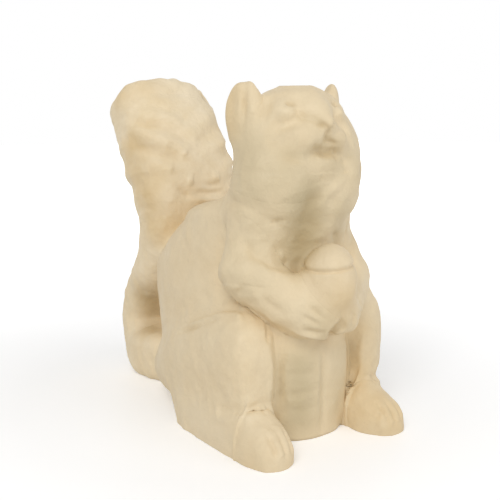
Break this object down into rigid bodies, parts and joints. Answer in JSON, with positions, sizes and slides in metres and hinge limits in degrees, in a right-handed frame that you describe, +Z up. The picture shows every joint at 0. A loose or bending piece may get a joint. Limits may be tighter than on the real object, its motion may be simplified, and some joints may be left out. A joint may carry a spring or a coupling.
{
  "type": "squirrel figurine",
  "caption": "Seated squirrel figurine in cream cast resin: full cheeks, folded haunches, long feet, a nut held in its paws and a tall plumed tail with a gap behind the back.",
  "frame": {"origin": "on the ground in the middle of the figure's outline seen from above", "axes": "+Z up, the face and toes towards -Y and the tail towards +Y, the figure's own left towards +X"},
  "size_m": [0.0567, 0.1148, 0.1044],
  "materials": {
    "body_resin": "satin",
    "nut_resin": "satin",
    "tail_resin": "satin"
  },
  "bodies": {
    "root": {"torso": "body_resin", "head": "body_resin", "left_ear": "body_resin", "right_ear": "body_resin", "left_arm": "body_resin", "right_arm": "body_resin", "left_haunch": "body_resin", "right_haunch": "body_resin", "left_foot": "body_resin", "right_foot": "body_resin", "nut": "nut_resin", "tail": "tail_resin"}
  },
  "joints": []
}
